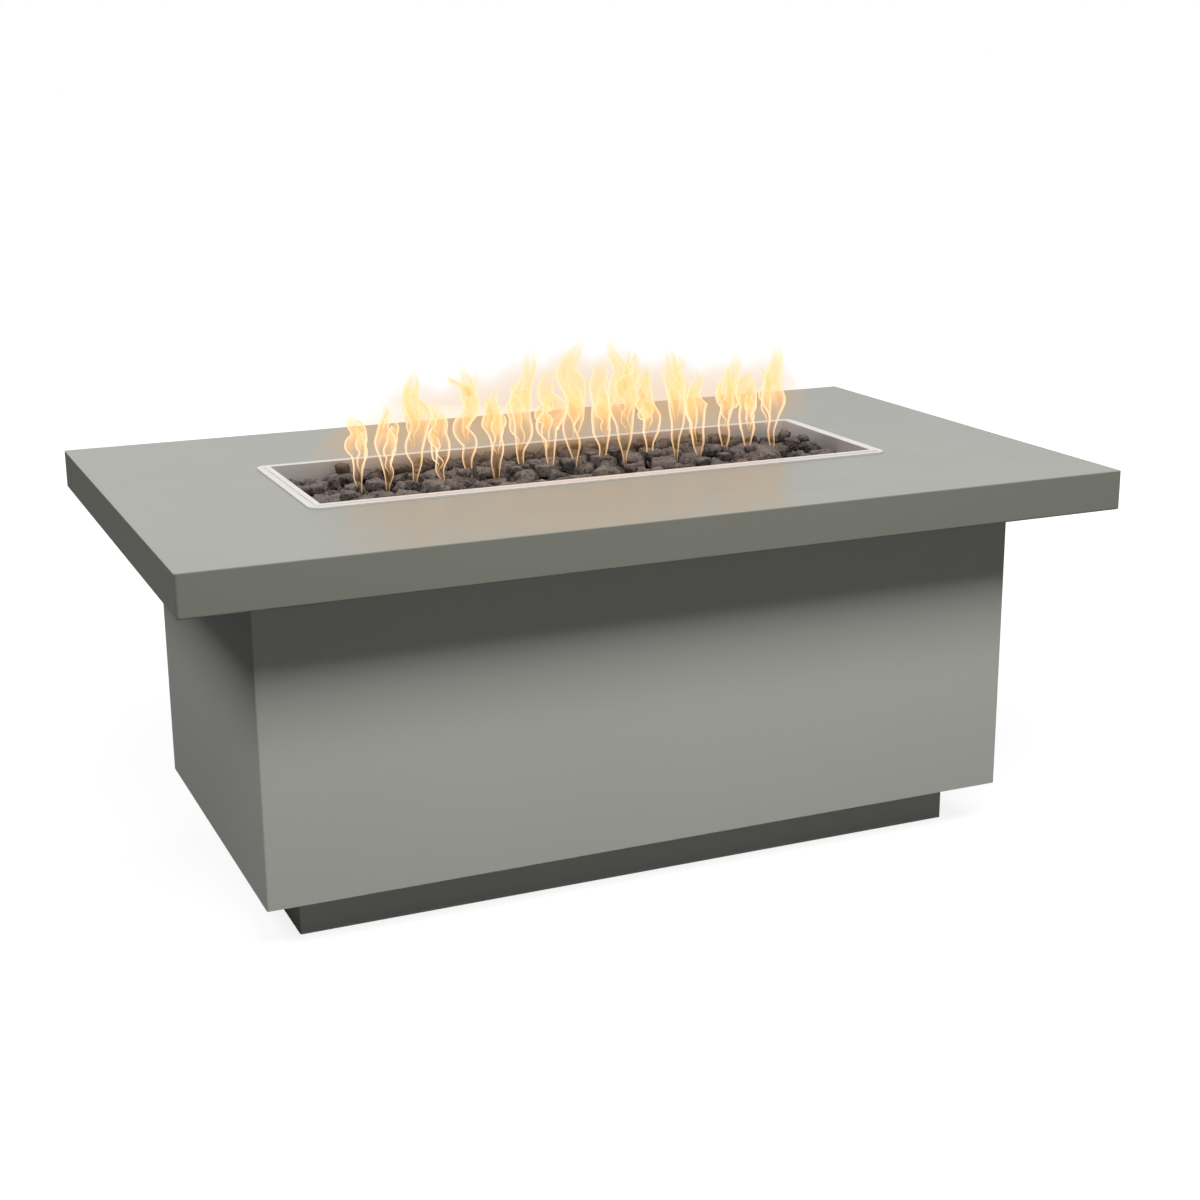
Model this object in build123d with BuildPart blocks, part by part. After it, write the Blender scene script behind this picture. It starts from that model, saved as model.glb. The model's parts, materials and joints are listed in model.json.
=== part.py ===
from build123d import *
import os
import random
from math import cos, hypot, pi, sin

# overall sizes, in millimetres, with the floor under the plinth at z = 0
table_length = 1524.0
table_depth = 914.0
table_height = 635.0
top_thickness = 64.0
overhang = 127.0
plinth_height = 76.0
plinth_inset = 63.5

# sheet gauges
top_sheet = 3.0
panel_sheet = 2.5
plinth_sheet = 3.0
pan_sheet = 2.0

# edge roundings of the folded sheet
top_corner_round = 4.0
top_edge_round = 1.5
under_edge_round = 5.0
panel_corner_round = 3.0

# drop-in pan
pan_length = 956.0
pan_width = 300.0
pan_depth = 78.0
lip_inner_width = 9.0
lip_outer_width = 12.0
lip_step = 1.5
lip_corner_round = 18.0
cutout_clearance = 3.0
cutout_edge_depth = 28.0

# clearances
running_fit = 0.05
loose_fit = 0.3
bolt_clearance = 0.3
door_gap = 2.0

# frame inside the pedestal
rail_size = 30.0
rail_wall = 2.0
post_leg = 40.0
post_sheet = 3.0
bearer_width = 40.0
bearer_height = 30.0
tray_edge_height = 25.0
plinth_flange = 25.0
stud_radius = 3.0
stud_length = 13.0
nut_thickness = 5.0
nut_radius = 5.8
bolt_radius = 4.0
bolt_head_radius = 7.5
bolt_head_height = 5.5
bolt_nut_height = 6.5

# service door in the rear panel
opening_length = 420.0
opening_height = 330.0
opening_centre_z = 310.0
leaf_height = 51.0
leaf_width = 28.0
leaf_sheet = 1.5
barrel_radius = 4.0
pin_radius = 2.0
hinge_spacing = 210.0
hinge_screw_radius = 1.9
knob_radius = 13.0
knob_reach = 26.0
magnet_length = 32.0
magnet_depth = 18.0
magnet_height = 40.0
vent_slots = 6
vent_pitch = 26.0
vent_width = 8.0
vent_height = 90.0
vent_start = 300.0
tray_vents = 5
tray_vent_length = 110.0
tray_vent_width = 14.0

# burner
burner_margin = 88.0
tube_radius = 12.7
tube_wall = 1.8
tube_height = 22.0
port_pitch = 25.0
port_spread = 6.0
port_radius = 1.4
hub_radius = 15.0
pipe_radius = 10.65
pipe_wall = 2.75
lock_nut_radius = 18.0
lock_nut_height = 8.0
stand_length = 16.0
stand_width = 34.0
stand_share = 0.36
mixer_drop = 47.0
elbow_reach = 34.0
mixer_length = 70.0
mixer_radius = 14.0
air_hole_radius = 3.5
spigot_length = 14.0

# gas valve and hose
valve_set_in = 125.0
valve_drop = 180.0
valve_radius = 16.0
valve_half_height = 36.0
neck_radius = 13.0
neck_length = 28.0
plug_radius = 9.0
plug_tail = 13.0
gas_way_radius = 6.5
stem_radius = 6.5
stem_reach = 14.0
gland_length = 8.0
socket_size = 8.0
socket_depth = 12.0
key_slack = 0.2
key_reach = 66.0
key_bar_radius = 4.0
key_bar_length = 64.0
sleeve_wall = 2.0
escutcheon_radius = 34.0
escutcheon_height = 4.0
sleeve_nut_height = 6.0
fitting_radius = 14.5
fitting_length = 14.0
hose_radius = 9.5
hose_wall = 2.5
hose_bend = 110.0
riser_foot = 18.0
thread_length = 20.0
thread_cut = 0.6
thread_run_out = 4.0
clip_width = 26.0
clip_height = 20.0

# lava rock and flames
rock_pitch = 46.0
base_rock_pitch = 60.0
rock_gap = 4.0
rock_jitter = 0.22
rock_wave = 5.0
rock_wave_length = 28.0
lane_width = 9.0
flame_pitch = 46.5
flame_height = 195.0

# derived sizes
pedestal_length = table_length - 2 * overhang
pedestal_depth = table_depth - 2 * overhang
pedestal_top = table_height - top_thickness
inner_x = pedestal_length / 2 - panel_sheet
inner_y = pedestal_depth / 2 - panel_sheet
plinth_length = pedestal_length - 2 * plinth_inset
plinth_depth = pedestal_depth - 2 * plinth_inset
tray_top = plinth_height + panel_sheet
post_top = pedestal_top - rail_size
cutout_length = pan_length + 2 * pan_sheet + 2 * cutout_clearance
cutout_width = pan_width + 2 * pan_sheet + 2 * cutout_clearance
pan_floor = table_height + pan_sheet - pan_depth
burner_length = pan_length - 2 * burner_margin
tube_z = pan_floor + tube_height
door_length = opening_length - 2 * door_gap
door_height = opening_height - 2 * door_gap
rear_face = pedestal_depth / 2
hinge_x = -opening_length / 2 + door_gap / 2
hinge_y = rear_face + barrel_radius + loose_fit
valve_x = pedestal_length / 2 - valve_set_in
mixer_z = pan_floor - pan_sheet - mixer_drop
valve_z = mixer_z - valve_drop
base = (Align.CENTER, Align.CENTER, Align.MIN)
sides = (-1, 1)
stud_heights = [tray_top + share * (post_top - tray_top) for share in (0.15, 0.5, 0.85)]
stud_offset = post_leg * 0.62

os.makedirs("parts", exist_ok=True)


def save(piece, name):
    piece.part.label = name
    export_step(piece.part, f"parts/{name}.step")


def group(solids):
    with BuildPart() as together:
        add(solids)
    return together


# One mitred side of a four-sided wall: the side faces along (out_x, out_y).
def mitred_side(length, depth, sheet, corner, bottom, height, flange, out_x, out_y):
    with BuildPart() as side:
        with BuildSketch(Plane.XY.offset(bottom)):
            RectangleRounded(length, depth, corner)
            Rectangle(length - 2 * sheet, depth - 2 * sheet, mode=Mode.SUBTRACT)
        extrude(amount=height)
        if flange > 0:
            for level in (bottom, bottom + height - sheet):
                with BuildSketch(Plane.XY.offset(level)):
                    Rectangle(length - sheet, depth - sheet)
                    Rectangle(length - 2 * flange, depth - 2 * flange, mode=Mode.SUBTRACT)
                extrude(amount=sheet)
        for end in sides:
            corner_x = (out_x if out_x else end) * length / 2
            corner_y = (out_y if out_y else end) * depth / 2
            keep_x = out_x if out_x else -end
            keep_y = out_y if out_y else -end
            split(bisect_by=Plane((corner_x, corner_y, 0), z_dir=(keep_x, keep_y, 0)), keep=Keep.TOP)
        split(bisect_by=Plane((0, 0, 0), z_dir=(out_x, out_y, 0)), keep=Keep.TOP)
    return side


# Where a panel's welded studs pass through the legs of the two posts behind it.
def stud_planes(out_x, out_y):
    planes = []
    for end in sides:
        for height in stud_heights:
            x = out_x * inner_x if out_x else end * (inner_x - stud_offset)
            y = out_y * inner_y if out_y else end * (inner_y - stud_offset)
            planes.append(Plane((x, y, height), z_dir=(-out_x, -out_y, 0)))
    return planes


def pedestal_panel(out_x, out_y):
    wall = mitred_side(
        pedestal_length,
        pedestal_depth,
        panel_sheet,
        panel_corner_round,
        plinth_height,
        pedestal_top - plinth_height,
        0,
        out_x,
        out_y,
    )
    with BuildPart() as panel:
        add(wall.part)
        with Locations(*stud_planes(out_x, out_y)):
            Cylinder(stud_radius, stud_length, align=base)
    return panel


def plinth_rail(out_x, out_y):
    rail = mitred_side(
        plinth_length,
        plinth_depth,
        plinth_sheet,
        panel_corner_round,
        0,
        plinth_height,
        plinth_flange,
        out_x,
        out_y,
    )
    with BuildPart() as drilled:
        add(rail.part)
        with Locations(*plinth_bolt_planes()):
            Cylinder(bolt_radius + bolt_clearance, 2 * plinth_sheet, mode=Mode.SUBTRACT)
    return drilled


def plinth_bolt_planes():
    from_edge = plinth_flange * 0.6
    points = []
    for end in sides:
        for share in (-0.3, 0.3):
            points.append((share * plinth_length, end * (plinth_depth / 2 - from_edge)))
            points.append((end * (plinth_length / 2 - from_edge), share * plinth_depth))
    return [Plane((x, y, plinth_height)) for x, y in points]


def top_bolt_planes():
    points = []
    for end in sides:
        for share in (-0.36, 0, 0.36):
            points.append((share * pedestal_length, end * (inner_y - rail_size / 2)))
    return [Plane((x, y, pedestal_top)) for x, y in points]


# table top: folded shell, open below inside the pedestal, with the pan cut-out
with BuildPart() as top_shell:
    with BuildSketch(Plane.XY.offset(pedestal_top)):
        RectangleRounded(table_length, table_depth, top_corner_round)
    extrude(amount=top_thickness)
    fillet(top_shell.faces().sort_by(Axis.Z)[0].edges(), radius=under_edge_round * 0.6)
    fillet(top_shell.faces().sort_by(Axis.Z)[-1].edges(), radius=top_edge_round)
    with BuildSketch(Plane.XY.offset(pedestal_top + top_sheet)):
        Rectangle(table_length - 2 * top_sheet, table_depth - 2 * top_sheet)
    extrude(amount=top_thickness - 2 * top_sheet, mode=Mode.SUBTRACT)
    with BuildSketch(Plane.XY.offset(pedestal_top)):
        Rectangle(2 * (inner_x - rail_size - loose_fit), 2 * (inner_y - rail_size - loose_fit))
    extrude(amount=top_sheet, mode=Mode.SUBTRACT)
    with BuildSketch(Plane.XY.offset(table_height - cutout_edge_depth)):
        Rectangle(cutout_length + 2 * top_sheet, cutout_width + 2 * top_sheet)
    extrude(amount=cutout_edge_depth - top_sheet)
    with BuildSketch(Plane.XY.offset(table_height - cutout_edge_depth)):
        Rectangle(cutout_length, cutout_width)
    extrude(amount=cutout_edge_depth, mode=Mode.SUBTRACT)
    with Locations(*top_bolt_planes()):
        Cylinder(bolt_radius + bolt_clearance, top_sheet, align=base, mode=Mode.SUBTRACT)
save(top_shell, "top_shell")

bearer_x = cutout_length / 2 + top_sheet + bearer_width
with BuildPart() as top_bearers:
    for end in sides:
        with BuildSketch(Plane.XZ.offset(-(table_depth / 2 - top_sheet))):
            with Locations((end * bearer_x, table_height - top_sheet - bearer_height / 2)):
                Rectangle(bearer_width, bearer_height)
                Rectangle(bearer_width - 2 * rail_wall, bearer_height - 2 * rail_wall, mode=Mode.SUBTRACT)
    extrude(amount=table_depth - 2 * top_sheet)
save(top_bearers, "top_bearers")

# pedestal panels
front_panel = pedestal_panel(0, -1)
save(front_panel, "front_panel")
left_panel = pedestal_panel(-1, 0)
save(left_panel, "left_panel")

sleeve_bore = neck_radius + loose_fit
sleeve_radius = sleeve_bore + sleeve_wall
plain_right = pedestal_panel(1, 0)
with BuildPart() as right_panel:
    add(plain_right.part)
    with Locations(Plane((pedestal_length / 2, 0, valve_z), z_dir=(-1, 0, 0))):
        Cylinder(sleeve_radius + loose_fit, panel_sheet, align=base, mode=Mode.SUBTRACT)
save(right_panel, "right_panel")


# Screw positions of the hinge leaves: side -1 is on the panel, side 1 on the door.
def hinge_screw_planes(side):
    planes = []
    for end in sides:
        for share in (-0.3, 0.3):
            x = hinge_x + side * leaf_width * 0.66
            z = opening_centre_z + end * hinge_spacing / 2 + share * leaf_height
            planes.append(Plane((x, rear_face + leaf_sheet, z), z_dir=(0, -1, 0)))
    return planes


screw_hole = hinge_screw_radius + running_fit
plain_rear = pedestal_panel(0, 1)
with BuildPart() as rear_panel:
    add(plain_rear.part)
    with BuildSketch(Plane.XZ.offset(-rear_face)):
        with Locations((0, opening_centre_z)):
            Rectangle(opening_length, opening_height)
        for end in sides:
            for slot in range(vent_slots):
                with Locations((end * (vent_start + slot * vent_pitch), opening_centre_z)):
                    SlotOverall(vent_height, vent_width, rotation=90)
    extrude(amount=panel_sheet, mode=Mode.SUBTRACT)
    with Locations(*hinge_screw_planes(-1)):
        Cylinder(screw_hole, 2 * panel_sheet, align=base, mode=Mode.SUBTRACT)
save(rear_panel, "rear_panel")

# frame: four angle posts, a ring of tubes under the top, a tray for the floor
with BuildPart() as corner_posts:
    for end_x in sides:
        for end_y in sides:
            with BuildSketch(Plane.XY.offset(tray_top)):
                with Locations((end_x * (inner_x - post_leg / 2), end_y * (inner_y - post_sheet / 2))):
                    Rectangle(post_leg, post_sheet)
                with Locations((end_x * (inner_x - post_sheet / 2), end_y * (inner_y - post_leg / 2))):
                    Rectangle(post_sheet, post_leg)
    extrude(amount=post_top - tray_top)
    for out_x, out_y in ((0, -1), (0, 1), (-1, 0), (1, 0)):
        with Locations(*stud_planes(out_x, out_y)):
            Cylinder(stud_radius + bolt_clearance, post_sheet, align=base, mode=Mode.SUBTRACT)
save(corner_posts, "corner_posts")

with BuildPart() as top_rails_long:
    for end in sides:
        with BuildSketch(Plane.YZ.offset(-inner_x)):
            with Locations((end * (inner_y - rail_size / 2), pedestal_top - rail_size / 2)):
                Rectangle(rail_size, rail_size)
                Rectangle(rail_size - 2 * rail_wall, rail_size - 2 * rail_wall, mode=Mode.SUBTRACT)
    extrude(amount=2 * inner_x)
    with Locations(*top_bolt_planes()):
        Cylinder(bolt_radius + bolt_clearance, 2 * rail_size, mode=Mode.SUBTRACT)
save(top_rails_long, "top_rails_long")

with BuildPart() as top_rails_short:
    for end in sides:
        with BuildSketch(Plane.XZ.offset(-(inner_y - rail_size))):
            with Locations((end * (inner_x - rail_size / 2), pedestal_top - rail_size / 2)):
                Rectangle(rail_size, rail_size)
                Rectangle(rail_size - 2 * rail_wall, rail_size - 2 * rail_wall, mode=Mode.SUBTRACT)
    extrude(amount=2 * (inner_y - rail_size))
save(top_rails_short, "top_rails_short")

tray_edge_x = inner_x - post_leg - loose_fit
tray_edge_y = inner_y - post_leg - loose_fit
tray_vent_y = (inner_y + plinth_depth / 2) / 2
with BuildPart() as floor_tray:
    with BuildSketch(Plane.XY.offset(plinth_height)):
        Rectangle(2 * inner_x, 2 * inner_y)
        with Locations((valve_x, 0)):
            Circle(pipe_radius + loose_fit, mode=Mode.SUBTRACT)
        for end in sides:
            with Locations((0, end * tray_vent_y)):
                with GridLocations(2 * tray_edge_x / tray_vents, 1, tray_vents, 1):
                    SlotOverall(tray_vent_length, tray_vent_width, mode=Mode.SUBTRACT)
    extrude(amount=panel_sheet)
    with BuildSketch(Plane.XY.offset(tray_top)):
        for end in sides:
            with Locations((0, end * (inner_y - panel_sheet / 2))):
                Rectangle(2 * tray_edge_x, panel_sheet)
            with Locations((end * (inner_x - panel_sheet / 2), 0)):
                Rectangle(panel_sheet, 2 * tray_edge_y)
    extrude(amount=tray_edge_height)
    with Locations(*plinth_bolt_planes()):
        Cylinder(bolt_radius + bolt_clearance, 3 * panel_sheet, mode=Mode.SUBTRACT)
save(floor_tray, "floor_tray")

with BuildPart() as panel_nuts:
    for out_x, out_y in ((0, -1), (0, 1), (-1, 0), (1, 0)):
        for stud in stud_planes(out_x, out_y):
            with BuildSketch(stud.offset(post_sheet)):
                RegularPolygon(nut_radius, 6)
                Circle(stud_radius + running_fit, mode=Mode.SUBTRACT)
    extrude(amount=nut_thickness)
save(panel_nuts, "panel_nuts")


# Hex bolts pushed in along each plane's axis: head outside the plane, shank along it.
def hex_bolts(planes, reach):
    with BuildPart() as bolts:
        for seat in planes:
            with BuildSketch(seat):
                RegularPolygon(bolt_head_radius, 6)
        extrude(amount=-bolt_head_height)
        for seat in planes:
            with BuildSketch(seat):
                Circle(bolt_radius)
        extrude(amount=reach)
    return bolts


def hex_nuts(planes):
    with BuildPart() as nuts:
        for seat in planes:
            with BuildSketch(seat):
                RegularPolygon(bolt_head_radius, 6)
                Circle(bolt_radius + running_fit, mode=Mode.SUBTRACT)
        extrude(amount=bolt_nut_height)
    return nuts


top_bolt_seats = [Plane((p.origin.X, p.origin.Y, post_top)) for p in top_bolt_planes()]
top_nut_seats = [p.offset(top_sheet) for p in top_bolt_planes()]
top_bolts = hex_bolts(top_bolt_seats, rail_size + top_sheet + bolt_nut_height + bolt_radius / 2)
save(top_bolts, "top_bolts")
top_bolt_nuts = hex_nuts(top_nut_seats)
save(top_bolt_nuts, "top_bolt_nuts")

plinth_bolt_seats = [
    Plane((p.origin.X, p.origin.Y, tray_top), x_dir=(1, 0, 0), z_dir=(0, 0, -1)) for p in plinth_bolt_planes()
]
plinth_stack = panel_sheet + plinth_sheet
plinth_bolts = hex_bolts(plinth_bolt_seats, plinth_stack + bolt_nut_height + bolt_radius / 2)
save(plinth_bolts, "plinth_bolts")
plinth_nuts = hex_nuts([p.offset(plinth_stack) for p in plinth_bolt_seats])
save(plinth_nuts, "plinth_nuts")

# plinth
plinth_front = plinth_rail(0, -1)
save(plinth_front, "plinth_front")
plinth_rear = plinth_rail(0, 1)
save(plinth_rear, "plinth_rear")
plinth_left = plinth_rail(-1, 0)
save(plinth_left, "plinth_left")
plinth_right = plinth_rail(1, 0)
save(plinth_right, "plinth_right")

# service door: flat sheet, two surface hinges, knob, magnet
knob_x = door_length / 2 - knob_radius - 2 * door_gap
with BuildPart() as access_door:
    with BuildSketch(Plane.XZ.offset(-rear_face)):
        with Locations((0, opening_centre_z)):
            Rectangle(door_length, door_height)
    extrude(amount=panel_sheet)
    with Locations(*hinge_screw_planes(1)):
        Cylinder(screw_hole, 2 * panel_sheet, align=base, mode=Mode.SUBTRACT)
    with Locations(Plane((knob_x, rear_face, opening_centre_z), z_dir=(0, -1, 0))):
        Cylinder(screw_hole, panel_sheet, align=base, mode=Mode.SUBTRACT)
save(access_door, "access_door")

band = leaf_height / 3
hinge_bottoms = [opening_centre_z + end * hinge_spacing / 2 - leaf_height / 2 for end in sides]


# Hinge leaves on one side: plate, tabs and knuckles in the bands given.
def hinge_leaf(side, bands):
    with BuildPart() as leaves:
        for bottom in hinge_bottoms:
            notch = barrel_radius + 2 * loose_fit
            with BuildSketch(Plane.XY.offset(bottom)):
                with Locations((hinge_x + side * (notch + leaf_width) / 2, rear_face + leaf_sheet / 2)):
                    Rectangle(leaf_width - notch, leaf_sheet)
            extrude(amount=leaf_height)
            for step in bands:
                with BuildSketch(Plane.XY.offset(bottom + step * band + loose_fit / 2)):
                    with Locations((hinge_x + side * notch / 2, rear_face + leaf_sheet / 2)):
                        Rectangle(notch, leaf_sheet)
                    with Locations((hinge_x, hinge_y)):
                        Circle(barrel_radius)
                        Circle(pin_radius + running_fit, mode=Mode.SUBTRACT)
                extrude(amount=band - loose_fit)
        with Locations(*hinge_screw_planes(side)):
            Cylinder(screw_hole, leaf_sheet, align=base, mode=Mode.SUBTRACT)
    return leaves


hinge_leaf_fixed = hinge_leaf(-1, (0, 2))
save(hinge_leaf_fixed, "hinge_leaf_fixed")
hinge_leaf_door = hinge_leaf(1, (1,))
save(hinge_leaf_door, "hinge_leaf_door")

with BuildPart() as hinge_pins:
    for bottom in hinge_bottoms:
        with Locations((hinge_x, hinge_y, bottom)):
            Cylinder(pin_radius, leaf_height, align=base)
        with Locations((hinge_x, hinge_y, bottom + leaf_height)):
            Cylinder(pin_radius * 1.7, leaf_sheet, align=base)
save(hinge_pins, "hinge_pins")


# Pan-head screws through a leaf and the sheet under it.
def leaf_screws(side):
    with BuildPart() as screws:
        for seat in hinge_screw_planes(side):
            with Locations(seat):
                Cylinder(hinge_screw_radius, leaf_sheet + panel_sheet + 1.5, align=base)
            with Locations(seat.offset(-1.6)):
                Cylinder(hinge_screw_radius * 1.7, 1.6, align=base)
    return screws


hinge_screws_fixed = leaf_screws(-1)
save(hinge_screws_fixed, "hinge_screws_fixed")
hinge_screws_door = leaf_screws(1)
save(hinge_screws_door, "hinge_screws_door")

knob_seat = Plane((knob_x, rear_face, opening_centre_z), x_dir=(1, 0, 0), z_dir=(0, 1, 0))
with BuildPart() as door_knob:
    with BuildSketch(Plane((knob_x, rear_face, opening_centre_z), x_dir=(1, 0, 0), z_dir=(0, 0, 1))):
        with BuildLine():
            Polyline(
                (0, 0),
                (knob_radius * 0.62, 0),
                (knob_radius * 0.5, knob_reach * 0.45),
                (knob_radius, knob_reach * 0.62),
                (knob_radius, knob_reach * 0.9),
                (knob_radius * 0.85, knob_reach),
                (0, knob_reach),
                close=True,
            )
        make_face()
    revolve(axis=Axis((knob_x, rear_face, opening_centre_z), (0, 1, 0)))
    with Locations(knob_seat):
        Cylinder(screw_hole, knob_reach * 0.5, align=base, mode=Mode.SUBTRACT)
save(door_knob, "door_knob")

with BuildPart() as knob_screw:
    with Locations(knob_seat.offset(-panel_sheet)):
        Cylinder(hinge_screw_radius, panel_sheet + knob_reach * 0.4, align=base)
    with Locations(knob_seat.offset(-panel_sheet - 2)):
        Cylinder(hinge_screw_radius * 2, 2, align=base)
save(knob_screw, "knob_screw")

with BuildPart() as door_magnet:
    magnet_x = opening_length / 2 + magnet_length * 0.25
    with Locations((magnet_x, inner_y - magnet_depth / 2, opening_centre_z)):
        Box(magnet_length, magnet_depth, magnet_height)
save(door_magnet, "door_magnet")

# stainless drop-in pan: welded trough with a stepped lip lying on the table
lip_length = pan_length + 2 * (lip_inner_width + lip_outer_width)
lip_width = pan_width + 2 * (lip_inner_width + lip_outer_width)
with BuildPart() as burner_pan:
    with BuildSketch(Plane.XY.offset(pan_floor - pan_sheet)):
        Rectangle(pan_length + 2 * pan_sheet, pan_width + 2 * pan_sheet)
    extrude(amount=pan_depth)
    with BuildSketch(Plane.XY.offset(table_height)):
        RectangleRounded(lip_length, lip_width, lip_corner_round)
    extrude(amount=pan_sheet)
    with BuildSketch(Plane.XY.offset(table_height + pan_sheet)):
        Rectangle(pan_length + 2 * lip_inner_width, pan_width + 2 * lip_inner_width)
    extrude(amount=lip_step)
    with BuildSketch(Plane.XY.offset(pan_floor)):
        Rectangle(pan_length, pan_width)
    extrude(amount=2 * pan_depth, mode=Mode.SUBTRACT)
    with Locations((0, 0, pan_floor)):
        Cylinder(pipe_radius + running_fit, 3 * pan_sheet, mode=Mode.SUBTRACT)
save(burner_pan, "burner_pan")

# burner: a straight tube over the inlet hub, with two rows of ports
hub_bottom = pan_floor + lock_nut_height
ports = int((burner_length - 2 * tube_radius) / port_pitch) + 1
with BuildPart() as burner:
    with Locations(Plane((-burner_length / 2, 0, tube_z), z_dir=(1, 0, 0))):
        Cylinder(tube_radius, burner_length, align=base)
    with Locations((0, 0, hub_bottom)):
        Cylinder(hub_radius, tube_z - hub_bottom, align=base)
    with Locations(Plane((tube_wall - burner_length / 2, 0, tube_z), z_dir=(1, 0, 0))):
        Cylinder(tube_radius - tube_wall, burner_length - 2 * tube_wall, align=base, mode=Mode.SUBTRACT)
    with Locations((0, 0, hub_bottom)):
        Cylinder(pipe_radius + running_fit, tube_z - hub_bottom, align=base, mode=Mode.SUBTRACT)
    with Locations((0, 0, tube_z)):
        with GridLocations(port_pitch, port_spread, ports, 2):
            Cylinder(port_radius, tube_radius + 1, align=base, mode=Mode.SUBTRACT)
save(burner, "burner")

stand_x = burner_length * stand_share
with BuildPart() as burner_stands:
    for end in sides:
        with Locations((end * stand_x, 0, pan_floor)):
            Box(stand_length, stand_width, tube_height - tube_radius * 0.4, align=base)
    with Locations(Plane((0, 0, tube_z), z_dir=(1, 0, 0))):
        Cylinder(tube_radius + running_fit, burner_length, mode=Mode.SUBTRACT)
save(burner_stands, "burner_stands")

pan_underside = pan_floor - pan_sheet
nipple_bottom = mixer_z
nipple_top = tube_z - tube_radius / 2
with BuildPart() as burner_nipple:
    with BuildSketch(Plane.XY.offset(nipple_bottom)):
        Circle(pipe_radius)
        Circle(pipe_radius - pipe_wall, mode=Mode.SUBTRACT)
    extrude(amount=nipple_top - nipple_bottom)
save(burner_nipple, "burner_nipple")

with BuildPart() as nipple_nuts:
    for level in (pan_floor, pan_underside - lock_nut_height):
        with BuildSketch(Plane.XY.offset(level)):
            RegularPolygon(lock_nut_radius, 6)
            Circle(pipe_radius + running_fit, mode=Mode.SUBTRACT)
    extrude(amount=lock_nut_height)
save(nipple_nuts, "nipple_nuts")

elbow_radius = pipe_radius + 4.35
elbow_top = pan_underside - lock_nut_height
with BuildPart() as burner_elbow:
    with Locations((0, 0, mixer_z - elbow_radius)):
        Cylinder(elbow_radius, elbow_top - mixer_z + elbow_radius, align=base)
    with Locations(Plane((0, 0, mixer_z), z_dir=(1, 0, 0))):
        Cylinder(elbow_radius, elbow_reach, align=base)
    with Locations((0, 0, nipple_bottom)):
        Cylinder(pipe_radius + running_fit, elbow_top - nipple_bottom, align=base, mode=Mode.SUBTRACT)
    with Locations(Plane((0, 0, mixer_z), z_dir=(1, 0, 0))):
        Cylinder(pipe_radius - pipe_wall, elbow_reach, align=base, mode=Mode.SUBTRACT)
    with Locations(Plane((elbow_reach, 0, mixer_z), z_dir=(-1, 0, 0))):
        Cylinder(pipe_radius + running_fit, spigot_length, align=base, mode=Mode.SUBTRACT)
save(burner_elbow, "burner_elbow")

mixer_end = elbow_reach + mixer_length
with BuildPart() as air_mixer:
    with Locations(Plane((elbow_reach, 0, mixer_z), z_dir=(1, 0, 0))):
        Cylinder(mixer_radius, mixer_length, align=base)
    with Locations(Plane((elbow_reach, 0, mixer_z), z_dir=(-1, 0, 0))):
        Cylinder(pipe_radius, spigot_length - loose_fit, align=base)
    with Locations(Plane((elbow_reach - spigot_length, 0, mixer_z), z_dir=(1, 0, 0))):
        Cylinder(pipe_radius - pipe_wall, mixer_length + spigot_length, align=base, mode=Mode.SUBTRACT)
    with Locations((elbow_reach + mixer_length * 0.5, 0, mixer_z)):
        Cylinder(air_hole_radius, 3 * mixer_radius, mode=Mode.SUBTRACT)
        Cylinder(air_hole_radius, 3 * mixer_radius, rotation=(90, 0, 0), mode=Mode.SUBTRACT)
save(air_mixer, "air_mixer")

# gas valve: a quarter-turn plug, with the gas way upright and the stem towards the right panel
valve_bottom = valve_z - valve_half_height
valve_top = valve_z + valve_half_height
neck_end = valve_x + neck_length + loose_fit
with BuildPart() as valve_body:
    with Locations((valve_x, 0, valve_bottom)):
        Cylinder(valve_radius, 2 * valve_half_height, align=base)
    with Locations(Plane((valve_x, 0, valve_z), z_dir=(1, 0, 0))):
        Cylinder(neck_radius, neck_end - valve_x, align=base)
    with Locations((valve_x, 0, valve_bottom)):
        Cylinder(gas_way_radius, 2 * valve_half_height, align=base, mode=Mode.SUBTRACT)
        Cylinder(pipe_radius + running_fit, spigot_length, align=base, mode=Mode.SUBTRACT)
    with Locations((valve_x, 0, valve_top - spigot_length)):
        Cylinder(pipe_radius + running_fit, spigot_length, align=base, mode=Mode.SUBTRACT)
    with Locations(Plane((valve_x - plug_tail - loose_fit, 0, valve_z), z_dir=(1, 0, 0))):
        Cylinder(plug_radius + running_fit, 2 * neck_length + plug_tail, align=base, mode=Mode.SUBTRACT)
save(valve_body, "valve_body")

stem_end = valve_x + neck_length + stem_reach
with BuildPart() as valve_stem:
    with Locations(Plane((valve_x - plug_tail, 0, valve_z), z_dir=(1, 0, 0))):
        Cylinder(plug_radius, plug_tail + neck_length, align=base)
    with Locations(Plane((valve_x + neck_length, 0, valve_z), z_dir=(1, 0, 0))):
        Cylinder(stem_radius, stem_reach, align=base)
    with Locations((valve_x, 0, valve_z)):
        Cylinder(gas_way_radius, 3 * plug_radius, mode=Mode.SUBTRACT)
    with BuildSketch(Plane((stem_end, 0, valve_z), z_dir=(-1, 0, 0))):
        Rectangle(socket_size, socket_size)
    extrude(amount=socket_depth, mode=Mode.SUBTRACT)
save(valve_stem, "valve_stem")

with BuildPart() as valve_gland:
    with BuildSketch(Plane((neck_end, 0, valve_z), z_dir=(1, 0, 0))):
        Circle(neck_radius)
        Circle(stem_radius + running_fit, mode=Mode.SUBTRACT)
    extrude(amount=gland_length)
save(valve_gland, "valve_gland")

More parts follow.
